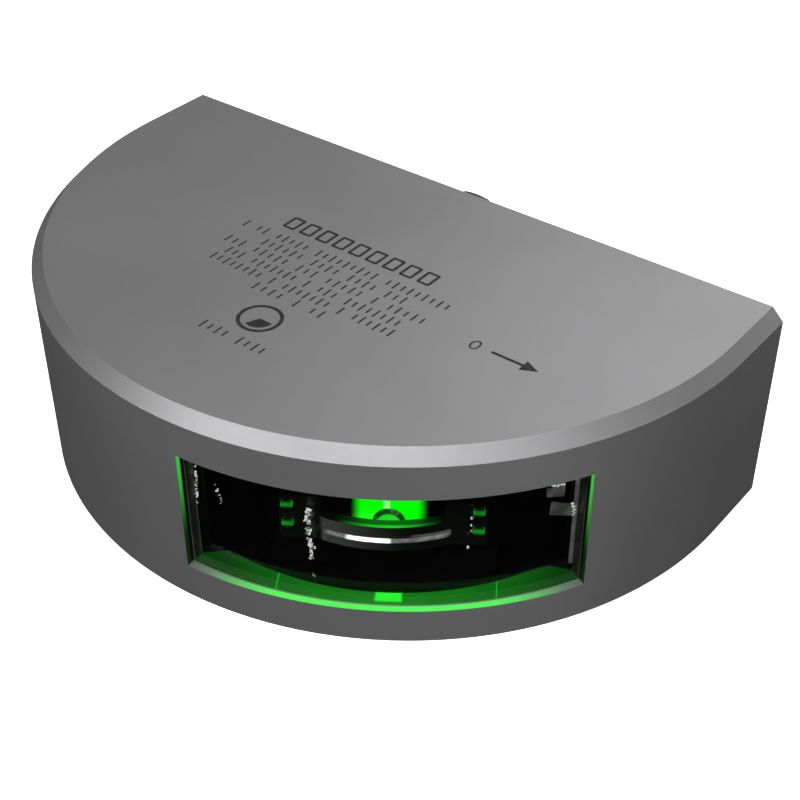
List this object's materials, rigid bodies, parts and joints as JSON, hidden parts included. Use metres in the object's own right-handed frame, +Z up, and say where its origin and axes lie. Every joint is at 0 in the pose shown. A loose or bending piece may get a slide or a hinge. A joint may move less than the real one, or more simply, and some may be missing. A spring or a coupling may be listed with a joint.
{
  "type": "navigation light",
  "caption": "Low D-shaped starboard sidelight: a grey housing with a flat back, a chamfered top edge and a curved window with a green lamp in its round front.",
  "frame": {"origin": "middle of the flat back mounting face, on the cable gland's axis", "axes": "+Y out of the back, towards the bulkhead; +X dead ahead when fitted, the light's 70 mm width; +Z up, the light's height"},
  "size_m": [0.07, 0.0463, 0.02],
  "materials": {
    "housing": "grey anodised, fine bead-blasted",
    "base_plate": "grey anodised, fine bead-blasted",
    "screw": "stainless steel",
    "insert": "stainless steel, machined",
    "pane": "clear acrylic, polished",
    "lens": "clear acrylic, polished",
    "bead": "clear silicone, lit green",
    "black_plastic": "moulded, matt black",
    "nylon": "moulded, black",
    "rubber": "black nitrile",
    "emitter": "light emitter, green",
    "silicone": "clear silicone dome",
    "circuit_board": "solder mask over glass fibre",
    "white_board": "black solder mask on aluminium",
    "pad": "thermal silicone",
    "bracket": "mill finish",
    "chip": "moulded epoxy",
    "ferrite": "ferrite, sintered",
    "can": "drawn can",
    "resistor": "glazed",
    "terminal": "moulded green nylon",
    "lead_red": "PVC insulation",
    "lead_black": "PVC insulation",
    "membrane": "black plastic"
  },
  "bodies": {
    "light": {"housing": "housing", "base_plate": "base_plate", "base_gasket": "rubber", "vent_plug": "membrane", "base_screws": "screw", "window_pane": "pane", "window_bead": "bead", "optics_frame": "black_plastic", "ring_lens": "lens", "ring_pins": "nylon", "emitter": "emitter", "emitter_dome": "silicone", "lamp_board": "white_board", "lamp_screws": "screw", "thermal_pad": "pad", "bracket": "bracket", "bracket_screws": "screw", "driver_board": "circuit_board", "board_screws": "screw", "inductor": "ferrite", "capacitors": "can", "driver_chip": "chip", "resistors": "resistor", "terminal_block": "terminal", "terminal_screws": "screw", "lead_red": "lead_red", "lead_black": "lead_black", "gland_body": "nylon", "gland_oring": "rubber", "gland_bush": "rubber", "mount_inserts": "insert"},
    "nut": {"gland_nut": "nylon"}
  },
  "joints": [
    {"name": "gland_nut_turn", "type": "hinge", "parent": "light", "child": "nut", "pos_m": [0, 0, 0], "axis": [0, 1, 0], "range_deg": [0, 270]}
  ]
}
